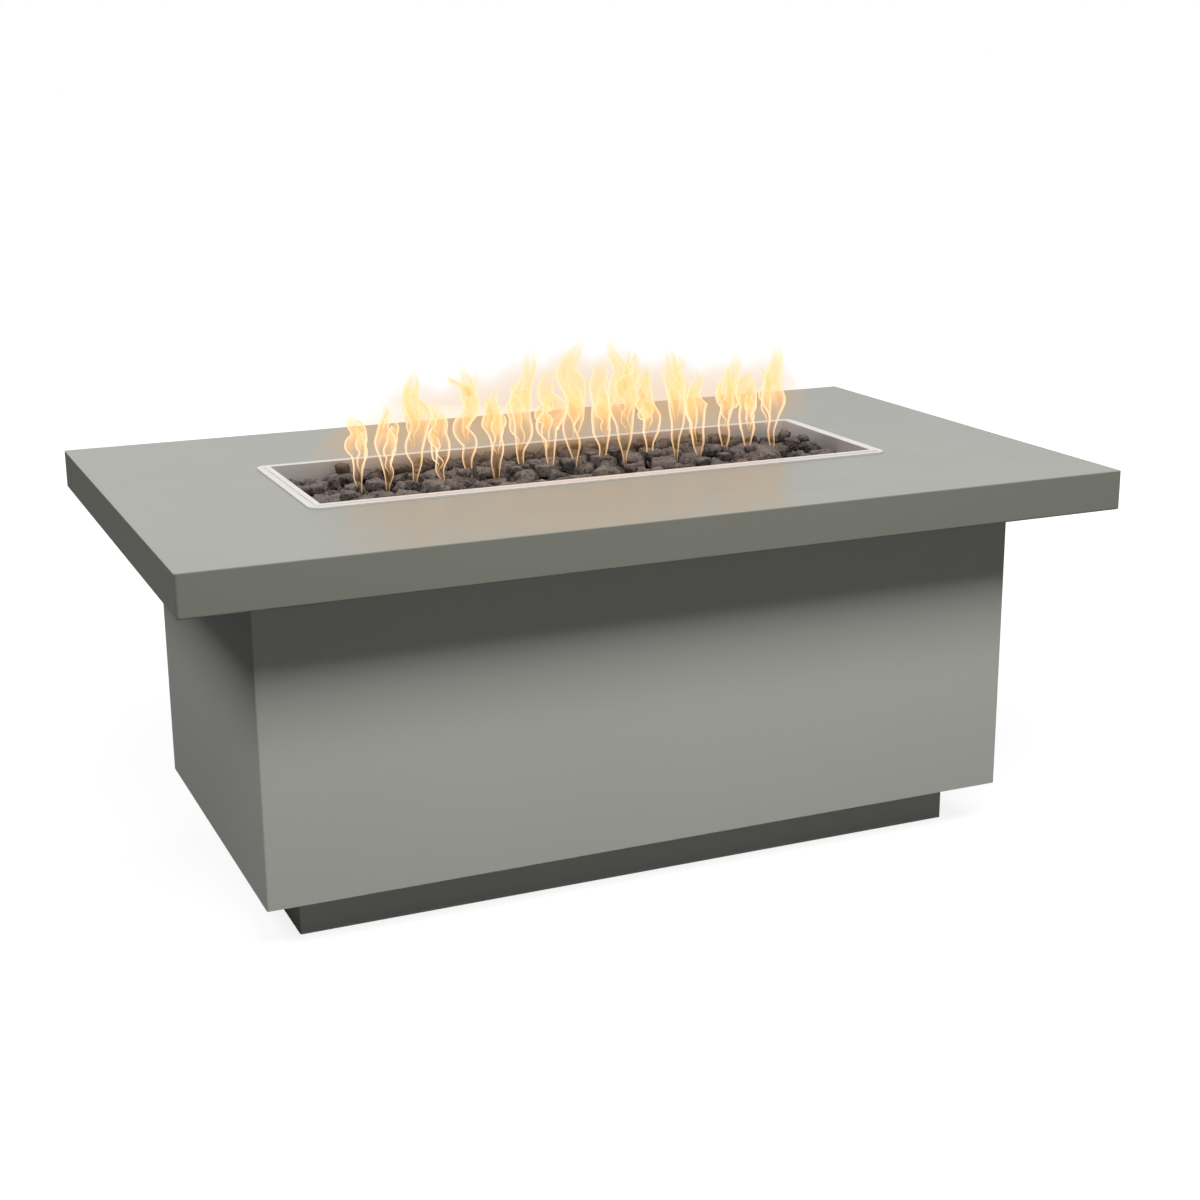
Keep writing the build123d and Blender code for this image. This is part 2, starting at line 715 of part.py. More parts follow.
panel_face_x = pedestal_length / 2
sleeve_start = valve_x + valve_radius + 4 * loose_fit
with BuildPart() as valve_sleeve:
    with Locations(Plane((sleeve_start, 0, valve_z), z_dir=(1, 0, 0))):
        Cylinder(sleeve_radius, panel_face_x - sleeve_start, align=base)
    with Locations(Plane((panel_face_x, 0, valve_z), z_dir=(1, 0, 0))):
        Cylinder(escutcheon_radius, escutcheon_height, align=base)
    chamfer(valve_sleeve.edges().sort_by(Axis.X)[-1], length=escutcheon_height * 0.6)
    with Locations(Plane((sleeve_start, 0, valve_z), z_dir=(1, 0, 0))):
        Cylinder(sleeve_bore, 2 * valve_set_in, align=base, mode=Mode.SUBTRACT)
save(valve_sleeve, "valve_sleeve")

with BuildPart() as sleeve_nut:
    with BuildSketch(Plane((inner_x, 0, valve_z), z_dir=(-1, 0, 0))):
        RegularPolygon(sleeve_radius + 7, 6)
        Circle(sleeve_radius + running_fit, mode=Mode.SUBTRACT)
    extrude(amount=sleeve_nut_height)
save(sleeve_nut, "sleeve_nut")

key_start = stem_end - socket_depth + loose_fit
key_end = panel_face_x + key_reach
key_size = socket_size - 2 * key_slack
with BuildPart() as valve_key:
    with BuildSketch(Plane((key_start, 0, valve_z), z_dir=(1, 0, 0))):
        Rectangle(key_size, key_size)
    extrude(amount=key_end - key_start)
    with Locations(Plane((key_end, -key_bar_length / 2, valve_z), z_dir=(0, 1, 0))):
        Cylinder(key_bar_radius, key_bar_length, align=base)
    fillet(valve_key.edges().filter_by(GeomType.CIRCLE), radius=key_bar_radius * 0.4)
save(valve_key, "valve_key")

# supply riser from the plinth to the valve, and the hose from the valve to the air mixer
riser_bore = valve_x + pipe_radius - pipe_wall
riser_skin = valve_x + pipe_radius
riser_head = valve_bottom + spigot_length - loose_fit
thread_top = riser_foot + thread_length
with BuildPart() as riser_pipe:
    with BuildSketch(Plane.XZ):
        Polygon(
            (riser_bore, riser_foot),
            (riser_skin - thread_cut, riser_foot),
            (riser_skin - thread_cut, thread_top),
            (riser_skin, thread_top + thread_run_out),
            (riser_skin, riser_head),
            (riser_bore, riser_head),
            align=None,
        )
    revolve(axis=Axis((valve_x, 0, 0), (0, 0, 1)))
save(riser_pipe, "riser_pipe")

with BuildPart() as riser_clip:
    with BuildSketch(Plane.XY.offset(tray_top)):
        with Locations((valve_x, 0)):
            RectangleRounded(clip_width + 2 * pipe_radius, clip_width + 6, 4)
            Circle(pipe_radius + running_fit, mode=Mode.SUBTRACT)
    extrude(amount=clip_height)
save(riser_clip, "riser_clip")


# Hex fitting with a spigot: the hex stands on the seat, the spigot goes back into it.
def hose_end(seat, spigot_radius, depth):
    with BuildPart() as fitting:
        with BuildSketch(seat):
            RegularPolygon(fitting_radius, 6)
        extrude(amount=fitting_length)
        with Locations(seat):
            Cylinder(spigot_radius, 2 * depth)
        with Locations(seat.offset(fitting_length / 2)):
            Cylinder(hose_radius - hose_wall, 4 * fitting_length, mode=Mode.SUBTRACT)
        with Locations(seat.offset(fitting_length)):
            Cylinder(spigot_radius + 1, 2 * depth, align=base, mode=Mode.SUBTRACT)
    return fitting


hose_end_valve = hose_end(Plane((valve_x, 0, valve_top)), pipe_radius, spigot_length - loose_fit)
save(hose_end_valve, "hose_end_valve")
mixer_seat = Plane((mixer_end, 0, mixer_z), z_dir=(1, 0, 0))
hose_end_burner = hose_end(mixer_seat, pipe_radius - pipe_wall - running_fit, fitting_length * 0.8)
save(hose_end_burner, "hose_end_burner")

with BuildPart() as gas_hose:
    with BuildLine() as hose_route:
        FilletPolyline(
            (mixer_end + fitting_length, 0, mixer_z),
            (valve_x, 0, mixer_z),
            (valve_x, 0, valve_top + fitting_length),
            radius=hose_bend,
        )
    with BuildSketch(Plane((mixer_end + fitting_length, 0, mixer_z), z_dir=(1, 0, 0))):
        Circle(hose_radius)
        Circle(hose_radius - hose_wall, mode=Mode.SUBTRACT)
    sweep(path=hose_route.wires()[0])
save(gas_hose, "gas_hose")

# lava rock: a base layer round the burner and a top layer with a lane over each burner tube
chance = random.Random(7)


# One rock: a four-cornered prism whose upper corners are broken off at random slopes.
def rock(corners, bottom, height, breaks):
    centre_x = sum(x for x, y in corners) / len(corners)
    centre_y = sum(y for x, y in corners) / len(corners)
    with BuildPart() as stone:
        with BuildSketch(Plane.XY.offset(bottom)):
            Polygon(*corners, align=None)
        extrude(amount=height)
        for x, y in corners:
            reach = hypot(x - centre_x, y - centre_y)
            out_x = (x - centre_x) / reach
            out_y = (y - centre_y) / reach
            inward = chance.uniform(0.25, 0.75) * reach
            drop = chance.uniform(0.35, 0.75) * breaks * height
            point = (x - inward * out_x, y - inward * out_y, bottom + height)
            turn = chance.uniform(-0.5, 0.5)
            slope = (drop * (out_x - turn * out_y), drop * (out_y + turn * out_x), inward)
            split(bisect_by=Plane(point, z_dir=slope), keep=Keep.BOTTOM)
    return stone.part


# The edge between two rows of rocks wanders; the first and last edges are straight.
def row_edge(edges, row, x):
    inside = 0 < row < len(edges) - 1
    return edges[row] + (rock_wave * sin(x / rock_wave_length + 2.4 * row) if inside else 0)


# A band of rocks along the pan, in rows between the given y edges. They are heaped in the middle
# and lie lower at the ends, most of all at the rear.
def rock_band(edges, pitch, bottom, low, high, fall, breaks):
    stones = []
    for row in range(len(edges) - 1):
        columns = round(2 * bed_x / (pitch * chance.uniform(0.9, 1.15)))
        step = 2 * bed_x / columns
        cuts = []
        for i in range(columns + 1):
            shift = rock_jitter * step if 0 < i < columns else 0
            x = i * step - bed_x
            cuts.append((x + chance.uniform(-shift, shift), x + chance.uniform(-shift, shift)))
        shrink = 1 - rock_gap / min(step, edges[row + 1] - edges[row])
        for (left_near, left_far), (right_near, right_far) in zip(cuts, cuts[1:]):
            cell = [(x, row_edge(edges, row, x)) for x in (left_near, right_near)]
            cell += [(x, row_edge(edges, row + 1, x)) for x in (right_far, left_far)]
            mid_x = sum(x for x, y in cell) / 4
            mid_y = sum(y for x, y in cell) / 4
            shape = [(mid_x + (x - mid_x) * shrink, mid_y + (y - mid_y) * shrink) for x, y in cell]
            sink = fall * (0.1 + abs(mid_x / bed_x) * (0.45 + 0.45 * mid_y / bed_y))
            stones.append(rock(shape, bottom, chance.uniform(low, high) - sink, breaks))
    return stones


def row_edges(start, end, pitch):
    rows = max(1, round((end - start) / pitch))
    return [start + (end - start) * i / rows for i in range(rows + 1)]


bed_x = pan_length / 2 - loose_fit
bed_y = pan_width / 2 - loose_fit
base_bottom = pan_floor + loose_fit
base_height = tube_z + tube_radius - base_bottom
base_lane = max(stand_width / 2, lock_nut_radius) + loose_fit
top_bottom = base_bottom + base_height + loose_fit
top_space = table_height + pan_sheet - top_bottom
rocks = []
for side in sides:
    near, far = sorted((side * base_lane, side * bed_y))
    edges = row_edges(near, far, base_rock_pitch)
    rocks += rock_band(edges, base_rock_pitch, base_bottom, base_height, base_height, 0, 0.5)
    near, far = sorted((side * lane_width / 2, side * bed_y))
    edges = row_edges(near, far, rock_pitch)
    rocks += rock_band(edges, rock_pitch, top_bottom, 0.62 * top_space, top_space, 0.45 * top_space, 1)
lava_rock = group(rocks)
save(lava_rock, "lava_rock")


# One flame: a flat tongue that leaves the burner through the lane and spreads above the rock.
def flame(x, height, lean):
    root = tube_z + tube_radius + loose_fit
    mouth = table_height + 2 * pan_sheet
    half_lane = lane_width / 2 - 1.2
    with BuildPart() as tongue:
        for rise, half_width, half_depth, drift in (
            (0, 5, half_lane, 0),
            (1, 8, half_lane, 0),
            (1.35, 15, 7, 0.25),
            (1.6, 12, 6, 0.6),
            (1.82, 6, 3.5, 0.9),
            (2, 1.2, 0.8, 1),
        ):
            level = root + rise * (mouth - root) if rise <= 1 else mouth + (rise - 1) * height
            with BuildSketch(Plane.XY.offset(level)):
                with Locations((x + lean * drift, 0.5 * lean * drift)):
                    Ellipse(half_width, half_depth)
        loft()
    return tongue.part


flame_count = int((ports - 1) * port_pitch / flame_pitch) + 1
tongues = []
for i in range(flame_count):
    x = (i - (flame_count - 1) / 2) * flame_pitch
    build_up = 1 - 0.5 / (1 + 4 * i * i)
    flicker = 0.15 * cos(pi * i) * (1 - i / (2 * flame_count)) + 0.11 * sin(0.55 * i - 3.2)
    lean = flame_pitch * (0.22 * sin(3.7 * i) + 0.12 - 0.3 * i / flame_count)
    tongues.append(flame(x, flame_height * build_up * (0.74 + flicker), lean))
flames = group(tongues)
save(flames, "flames")
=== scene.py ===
import json
import math
import random

import bmesh
import bpy
import numpy as np
from mathutils import Matrix, Vector
from mathutils.bvhtree import BVHTree


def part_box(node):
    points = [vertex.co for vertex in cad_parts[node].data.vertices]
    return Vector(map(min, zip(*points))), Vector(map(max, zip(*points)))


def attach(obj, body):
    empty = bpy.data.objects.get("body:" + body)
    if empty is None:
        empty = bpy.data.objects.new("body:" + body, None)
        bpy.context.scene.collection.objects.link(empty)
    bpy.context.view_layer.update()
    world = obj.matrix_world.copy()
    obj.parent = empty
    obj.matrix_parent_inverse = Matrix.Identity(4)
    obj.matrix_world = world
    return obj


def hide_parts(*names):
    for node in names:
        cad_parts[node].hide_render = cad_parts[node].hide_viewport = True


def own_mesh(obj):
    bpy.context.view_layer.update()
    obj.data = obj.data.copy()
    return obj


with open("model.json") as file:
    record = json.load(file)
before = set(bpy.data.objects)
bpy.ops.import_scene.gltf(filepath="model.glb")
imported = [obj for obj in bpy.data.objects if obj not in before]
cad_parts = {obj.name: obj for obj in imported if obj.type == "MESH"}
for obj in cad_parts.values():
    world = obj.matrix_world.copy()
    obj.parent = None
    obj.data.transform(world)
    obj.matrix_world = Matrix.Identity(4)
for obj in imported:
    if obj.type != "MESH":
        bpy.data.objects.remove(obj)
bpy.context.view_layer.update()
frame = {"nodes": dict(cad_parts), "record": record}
nodes = frame["nodes"]
scene = bpy.context.scene
scene.view_settings.view_transform = "Standard"
scene.cycles.transparent_max_bounces = 64

chance = random.Random(11)
lumps = np.random.default_rng(11)

# camera: where the photograph was taken from, in metres and degrees, with its lens in millimetres
camera_place = (-1.2309, -2.9492, 1.2898)
camera_turn = 23.377
camera_dip = 15.682
camera_tilt = -0.447
camera_lens = 58.618
camera_sensor = 36.0

# floor: how much of the shadow it shows, how much light it throws back, and its half length in metres
floor_shadow = 0.18
floor_bounce = 0.115
floor_half = 30.0
# its own white near the object and further off, and these two distances in metres
floor_near_light = 1.0 - 0.8 * floor_shadow
floor_far_light = 1.05
floor_near = 0.9
floor_far = 2.6

# surround: its dim fill, while the eye and reflections see it white
surround = 0.04
surround_colour = (0.97, 0.98, 1.0)
white = (1.0, 1.0, 1.0)

# paint and metal colours, linear
paint_top = (0.184, 0.187, 0.161)
paint_pedestal = (0.392, 0.398, 0.365)
# the plinth's paint is lighter than the pedestal's: painted light that makes up for the shade under the
# pedestal's overhang
paint_plinth = (0.440, 0.446, 0.408)
paint_frame = (0.020, 0.020, 0.021)
steel = (0.740, 0.705, 0.685)
zinc = (0.560, 0.570, 0.590)
brass = (0.560, 0.360, 0.120)
chrome = (0.780, 0.790, 0.800)
black_iron = (0.022, 0.022, 0.024)
magnet_black = (0.016, 0.016, 0.017)

# lava rock colours, linear; the pit and pore colours are painted shade in the rock's hollows
lava_dark = (0.016, 0.015, 0.016)
lava_pale = (0.188, 0.155, 0.136)
lava_dust = (0.275, 0.240, 0.222)
pit_painted_shade = (0.010, 0.009, 0.010)
pore_painted_shade = (0.020, 0.018, 0.018)

# lava rocks: share of the CAD rock's size, most tip and turn in degrees, lift in metres
rock_size = (0.84, 1.06)
rock_tip = 22
rock_turn = 40
rock_lift = 0.003
# extra breaks in a rock, how far out they lie as a share of its reach, and how sharp its edges are
rock_breaks = 8
break_reach = (0.66, 1.0)
least_reach = 0.002
edge_sharpness = 48
# a rock's skin: bumps swell it and cracks cut into it, each as waves, sharpness and depth
skin_size = 1.05
skin_limits = (0.72, 1.1)
skin_bumps = ((6, 3.0, 0.03), (8, 9.0, 0.04), (12, 22.0, 0.03))
skin_cracks = ((6, 6.0, 0.07), (8, 14.0, 0.045))
# how pale a rock is: by itself and by its facet at random, plus painted light that pales it towards its
# top and painted shade that darkens its cracks and hollows by its relief
stone_tone = (0.0, 0.5)
top_painted_light = 0.5
top_painted_light_span = (0.1, 0.95)
relief_painted_shade = 2.2
facet_tone = 0.16
# the bed is heaped behind the burner's middle: extra height, half length, and where it rises in y
heap_height = 0.024
heap_half = 0.24
heap_front = (-0.06, 0.1)
# rocks that reach this far over the burner are seen, and they stay this far under the pan's top
bed_gap = 0.002

# loose chips of lava rock: count, and in metres their radius, margin to the pan's rim, half width of
# the lane over the burner, and the height that they drop from
chip_count = 210
chip_radius = (0.006, 0.015)
chip_margin = 0.045
chip_lane = 0.008
chip_drop = 0.1
# shares of a chip's radius: its seat over what it lies on, and how far out its faces are
chip_seat = 0.35
chip_faces = (0.7, 1.1)
axes_both = ((1, 0, 0), (-1, 0, 0), (0, 1, 0), (0, -1, 0), (0, 0, 1), (0, 0, -1))
both_sides = (-1, 1)

# fire: light low in a tongue, in its body, along its sides low down and higher up, and in the haze
flame_low = np.array([0.80, 0.44, 0.13])
flame_body = np.array([1.50, 0.80, 0.28])
flame_side_low = np.array([0.88, 0.52, 0.17])
flame_side = np.array([1.55, 0.98, 0.62])
flame_haze = np.array([0.80, 0.45, 0.15])
# shares of a tongue's height: where body and sides turn from low to high light, where it appears at
# its root, and how much of it is rounded off at each end
body_turns = (0.2, 0.6)
side_turns = (0.06, 0.42)
root_fade = (0.03, 0.14)
end_rounding = 0.03
end_opening = 0.02
# its ragged top: mean height, how uneven it is, and how far below and above it fades
top_height = 0.93
top_ragged = 0.07
top_fade = (0.14, 0.08)
# a tongue turns from two thin sides into a full sheet a little above the table top; as shares of its
# height, the limits of that level, and how far above it the sheet and the threads are full
fill_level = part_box("top_shell")[1][2] + 0.042
fill_limits = (0.12, 0.5)
body_fills = 0.3
thread_fills = 0.2
# streaks in the sheet: mean, depth of the clouds and of the ripples, and the least that is left
streak_mean = 0.68
cloud_depth = 0.3
ripple_depth = 0.2
streak_least = 0.2
# sides: thickness in metres, the shares of it and of its cover at the root, and limits as shares of width
side_thickness = 0.0032
root_thickness = 0.5
root_cover = 0.42
side_limits = (0.12, 0.6)
side_blur = 0.25
most_cover = 0.95
# threads of light inside a tongue: width and swing as shares of its width, cover beside the sides
thread_width = 0.1
thread_swing = 0.75
thread_cover = 0.6
thread_half_waves = (1.38, 2.07)
# how much the sheet counts beside the sides where their light mixes
sheet_weight = 0.6
# the least half width and half depth of a tongue, in metres
least_width = 6e-4
least_depth = 4e-4
# half widths of a tongue from root to tip, in metres, narrowest and widest
root_width = 0.0025
tongue_widths = (
    (0.003, 0.007),
    (0.006, 0.013),
    (0.008, 0.018),
    (0.009, 0.024),
    (0.010, 0.026),
    (0.008, 0.024),
    (0.004, 0.017),
)
tip_width = (0.001, 0.004)
# half depth of a tongue at its root and tip in metres, and in between as a share of its half width
root_depth = 0.002
tip_depth = 0.001
depth_share = 0.5
# how much of a tongue's width follows its height
width_by_height = 0.5
# how a tongue wanders: unrest, sweep of the tip and stray of the spine in metres, the stray's share in
# y, and how late its lean and its sweep set in
lick_unrest = (0.5, 1.5)
lick_sweep = 0.022
lick_stray = 0.009
stray_depth = 0.4
lean_power = 1.4
sweep_power = 4
# a tongue's root and tip over the CAD flame's, and the CAD flame's usual height, in metres
root_rise = 0.008
tip_rise = 0.022
usual_height = 0.2
# cover of the sheet in the main tongue and in its twin, and of a tongue's sides and lower sheet
main_body = 0.53
twin_body = 0.44
tongue_edge = 0.85
tongue_low = 0.14
# the twin: fullness, where it branches off, height as a share, lean and step aside in metres
twin_fullness = 0.7
twin_branch = (0.18, 0.36)
twin_height = (0.66, 0.94)
twin_lean = (0.004, 0.020)
twin_step = 0.004
# wisps: how many, where they leave a tongue, and their reach, rise, curl and sink in metres
wisp_counts = (0, 1, 1, 2)
wisp_start = (0.5, 0.8)
wisp_reach = (0.008, 0.034)
wisp_rise = (0.025, 0.065)
wisp_over = 0.018
wisp_curl = (-0.014, 0.008)
wisp_sink = 0.012
wisp_slant = 0.3
wisp_half_turns = 1.6
wisp_out_power = 0.8
wisp_lift_power = 1.2
wisp_knots = 6
wisp_root_width = 0.003
wisp_widths = ((0.003, 0.008), (0.003, 0.009), (0.002, 0.006), (0.002, 0.004))
wisp_tip_width = 0.0006
# haze: cover, and in metres the width of each tongue's glow, the reach and rise of its outline, the
# margin at the row's ends, where it comes in at its foot and falls off under a tip, its place behind
# the row and its half depth; then how sharp the outline is and where it fades towards it
haze_cover = 0.58
haze_width = 0.060
haze_reach = 0.085
haze_rise = 0.03
haze_margin = 0.10
haze_foot = 0.09
haze_fall = 0.06
haze_behind = 0.016
haze_depth = 0.006
haze_least_depth = 2e-4
haze_crest_power = 8
haze_crest_fade = (0.72, 1.0)


def colour(rgb, factor=1.0):
    """A linear colour, lighter or darker by a factor."""
    return (rgb[0] * factor, rgb[1] * factor, rgb[2] * factor, 1.0)


class Surface:
    """A material whose nodes are added one by one around its shader."""

    def __init__(self, name):
        self.material = bpy.data.materials.new(name)
        self.material.use_nodes = True
        self.tree = self.material.node_tree
        self.shader = self.tree.nodes["Principled BSDF"]
        self.out = self.tree.nodes["Material Output"]
        self.place = self.add("ShaderNodeTexCoord").outputs["Object"]

    def add(self, kind, **values):
        node = self.tree.nodes.new(kind)
        for key, value in values.items():
            setattr(node, key, value)
        return node

    def link(self, source, target):
        self.tree.links.new(source, target)

    def set(self, **values):
        for key, value in values.items():
            self.shader.inputs[key.replace("_", " ")].default_value = value

    def stretched(self, scale):
        mapping = self.add("ShaderNodeMapping")
        mapping.inputs["Scale"].default_value = scale
        self.link(self.place, mapping.inputs["Vector"])
        return mapping.outputs["Vector"]

    def noise(self, scale, detail=3.0, rough=0.5, at=None):
        node = self.add("ShaderNodeTexNoise")
        node.inputs["Scale"].default_value = scale
        node.inputs["Detail"].default_value = detail
        node.inputs["Roughness"].default_value = rough
        self.link(at or self.place, node.inputs["Vector"])
        return node.outputs["Fac"]

    def cells(self, scale):
        node = self.add("ShaderNodeTexVoronoi", feature="F1")
        node.inputs["Scale"].default_value = scale
        self.link(self.place, node.inputs["Vector"])
        return node.outputs["Distance"]

    def ramp(self, source, low, high, start=0.0, end=1.0):
        node = self.add("ShaderNodeMapRange")
        node.inputs["From Min"].default_value = start
        node.inputs["From Max"].default_value = end
        node.inputs["To Min"].default_value = low
        node.inputs["To Max"].default_value = high
        self.link(source, node.inputs["Value"])
        return node.outputs["Result"]

    def blend(self, factor, first, second):
        node = self.add("ShaderNodeMix", data_type="RGBA")
        self.link(factor, node.inputs["Factor"])
        for value, socket in ((first, node.inputs["A"]), (second, node.inputs["B"])):
            if hasattr(value, "links"):
                self.link(value, socket)
            else:
                socket.default_value = value
        return node.outputs["Result"]

    def bump(self, height, distance, strength, under=None):
        node = self.add("ShaderNodeBump")
        node.inputs["Strength"].default_value = strength
        node.inputs["Distance"].default_value = distance
        self.link(height, node.inputs["Height"])
        if under:
            self.link(under, node.inputs["Normal"])
        return node.outputs["Normal"]


def powder_coat(name, rgb, rough=0.42, shine=0.3, spread=0.03):
    """Satin powder coat: faint clouding, orange peel and fine texture."""
    coat = Surface(name)
    body = coat.blend(coat.noise(scale=2.3, detail=4), colour(rgb, 0.965), colour(rgb, 1.035))
    grains = coat.ramp(coat.noise(scale=1400, detail=2), low=0, high=1, start=0.35, end=0.65)
    speck = coat.blend(grains, colour(rgb, 0.9), colour(rgb, 1.06))
    tint = coat.add("ShaderNodeMix", data_type="RGBA", blend_type="SOFT_LIGHT")
    tint.inputs["Factor"].default_value = 0.12
    coat.link(body, tint.inputs["A"])
    coat.link(speck, tint.inputs["B"])
    coat.link(tint.outputs["Result"], coat.shader.inputs["Base Color"])
    wear = coat.ramp(coat.noise(scale=7, detail=2), low=rough - spread, high=rough + spread)
    coat.link(wear, coat.shader.inputs["Roughness"])
    peel = coat.bump(coat.noise(scale=420, detail=2), distance=0.0002, strength=0.06)
    grain = coat.bump(coat.noise(scale=1500, detail=2), distance=0.0001, strength=0.05, under=peel)
    coat.link(grain, coat.shader.inputs["Normal"])
    coat.set(IOR=1.45, Specular_IOR_Level=shine)
    return coat.material


def metal(name, rgb, rough, grain=None, spread=0.06, bare=1.0):
    """Bare metal: colour clouding, brushed or fine grain in roughness and bump."""
    surface = Surface(name)
    at = surface.stretched(grain) if grain else None
    lines = surface.noise(scale=1.0 if grain else 900, detail=4, rough=0.6, at=at)
    cloud = surface.blend(surface.noise(scale=9, detail=4), colour(rgb, 0.93), colour(rgb, 1.05))
    dark_lines = surface.ramp(lines, low=0, high=0.35, start=0.3, end=0.7)
    streak = surface.blend(dark_lines, cloud, colour(rgb, 0.8))
    surface.link(streak, surface.shader.inputs["Base Color"])
    wear = surface.ramp(lines, low=rough - spread, high=rough + spread, start=0.3, end=0.7)
    surface.link(wear, surface.shader.inputs["Roughness"])
    scratches = surface.bump(lines, distance=0.00005, strength=0.5)
    surface.link(scratches, surface.shader.inputs["Normal"])
    surface.set(Metallic=bare)
    return surface.material


def lava_material():
    """Porous basalt: charcoal to brown with dusty spots, painted shade in its pits and pores, and painted
    light and shade from the tint.
    """
    stone = Surface("lava_rock")
    # the tint attribute holds each stone's own tone together with painted light on its top and painted
    # shade in its cracks
    tint = stone.add("ShaderNodeAttribute", attribute_name="tint").outputs["Fac"]
    base = stone.blend(tint, colour(lava_dark), colour(lava_pale))
    dust = stone.ramp(stone.noise(scale=140, detail=5, rough=0.7), low=0, high=0.4, start=0.5, end=0.72)
    mottled = stone.blend(dust, base, colour(lava_dust))
    pits = stone.ramp(stone.cells(scale=170), low=0, high=1, start=0.04, end=0.3)
    pores = stone.ramp(stone.cells(scale=420), low=0, high=1, start=0.05, end=0.32)
    # painted shade: the pits and pores are darkened in colour where the bump sinks them
    pitted = stone.blend(pits, colour(pit_painted_shade), mottled)
    porous = stone.blend(pores, colour(pore_painted_shade), pitted)
    stone.link(porous, stone.shader.inputs["Base Color"])
    relief = stone.bump(stone.noise(scale=150, detail=6, rough=0.7), distance=0.004, strength=0.9)
    relief = stone.bump(pits, distance=0.0025, strength=0.9, under=relief)
    relief = stone.bump(pores, distance=0.001, strength=0.8, under=relief)
    stone.link(relief, stone.shader.inputs["Normal"])
    wear = stone.ramp(stone.noise(scale=120), low=0.82, high=0.98)
    stone.link(wear, stone.shader.inputs["Roughness"])
    stone.set(Specular_IOR_Level=0.25)
    return stone.material


def flame_material():
    """Burning gas: light of its own, see-through where the sheet of fire is thin."""
    fire = Surface("flame")
    fire.tree.nodes.remove(fire.shader)
    shade = fire.add("ShaderNodeAttribute", attribute_name="fire_colour")
    cover = fire.add("ShaderNodeAttribute", attribute_name="fire_cover")
    glow = fire.add("ShaderNodeEmission")
    glow.inputs["Strength"].default_value = 1.0
    clear = fire.add("ShaderNodeBsdfTransparent")
    sheet = fire.add("ShaderNodeMixShader")
    fire.link(shade.outputs["Color"], glow.inputs["Color"])
    fire.link(cover.outputs["Fac"], sheet.inputs["Fac"])
    fire.link(clear.outputs["BSDF"], sheet.inputs[1])
    fire.link(glow.outputs["Emission"], sheet.inputs[2])
    fire.link(sheet.outputs["Shader"], fire.out.inputs["Surface"])
    return fire.material


along_length = (3.0, 900.0, 900.0)
materials = {
    "grey_powder_coat": powder_coat("pedestal_coat", paint_pedestal, shine=0.15),
    # the plinth's slot gets a light paint, as painted light against the shade under the overhang
    "dark_powder_coat": powder_coat("plinth_coat", paint_plinth, rough=0.55),
    "frame_paint": powder_coat("frame_paint", paint_frame, rough=0.6),
    "stainless": metal("stainless", steel, rough=0.4, grain=along_length, bare=0.7),
    "bright_steel": metal("bright_steel", steel, rough=0.32),
    "zinc_fasteners": metal("zinc", zinc, rough=0.36),
    "brass": metal("brass", brass, rough=0.3),
    "chrome": metal("chrome", chrome, rough=0.1, spread=0.03),
    "black_pipe": metal("black_pipe", black_iron, rough=0.5),
    "magnet_case": powder_coat("magnet_case", magnet_black, rough=0.65),
    "lava_rock": lava_material(),
    "flame": flame_material(),
}
top_coat = powder_coat("top_coat", paint_top, rough=0.29, shine=0.55)


def dress(node, material):
    """Gives a CAD node its one material."""
    mesh_slots = nodes[node].data.materials
    mesh_slots.clear()
    mesh_slots.append(material)


for entry in frame["record"]["subparts"]:
    dress(entry["node"], materials[entry["material_slot"]])
dress("top_shell", top_coat)


def new_object(name, points, faces, material, rounded=True):
    """A mesh object from points and faces."""
    mesh = bpy.data.meshes.new(name)
    mesh.from_pydata([tuple(p) for p in points], [], [tuple(f) for f in faces])
    mesh.materials.append(material)
    if rounded:
        mesh.shade_smooth()
    item = bpy.data.objects.new(name, mesh)
    scene.collection.objects.link(item)
    return item


def loose_parts(node):
    """The separate solids of a CAD node, each as corner points and (normal, offset) planes."""
    weld = 1e-6
    least_area = 1e-9
    shape = bmesh.new()
    shape.from_mesh(nodes[node].data)
    bmesh.ops.remove_doubles(shape, verts=shape.verts, dist=weld)
    shape.verts.ensure_lookup_table()
    shape.faces.index_update()
    seen = set()
    parts = []
    for first in shape.verts:
        if first.index in seen:
            continue
        seen.add(first.index)
        group = [first]
        for vert in group:
            for edge in vert.link_edges:
                other = edge.other_vert(vert)
                if other.index not in seen:
                    seen.add(other.index)
                    group.append(other)
        corners = np.array([v.co for v in group])
        faces = sorted({f for v in group for f in v.link_faces}, key=lambda f: f.index)
        faces = [f for f in faces if f.calc_area() > least_area]
        planes = [(f.normal.copy(), f.normal.dot(f.verts[0].co)) for f in faces]
        parts.append((corners, planes))
    shape.free()
    return parts


def ball(level):
    """Directions all round, with the triangles between them."""
    shape = bmesh.new()
    bmesh.ops.create_icosphere(shape, subdivisions=level, radius=1.0)
    points = np.array([v.co for v in shape.verts])
    faces = np.array([[v.index for v in f.verts] for f in shape.faces])
    shape.free()
    return points / np.linalg.norm(points, axis=1)[:, None], faces


def smooth(low, high, value):
    """A soft step from 0 at low to 1 at high."""
    t = np.clip((value - low) / (high - low), 0, 1)
    return t * t * (3 - 2 * t)


def ripple(directions, waves, sharpness):
    """Smooth random relief over a ball, mostly between -1 and 1."""
    relief = np.zeros(len(directions))
    for wave in range(waves):
        axis = lumps.normal(size=3) * sharpness
        relief += np.sin(directions @ axis + lumps.uniform(0, 2 * math.pi))
    return relief / math.sqrt(waves)


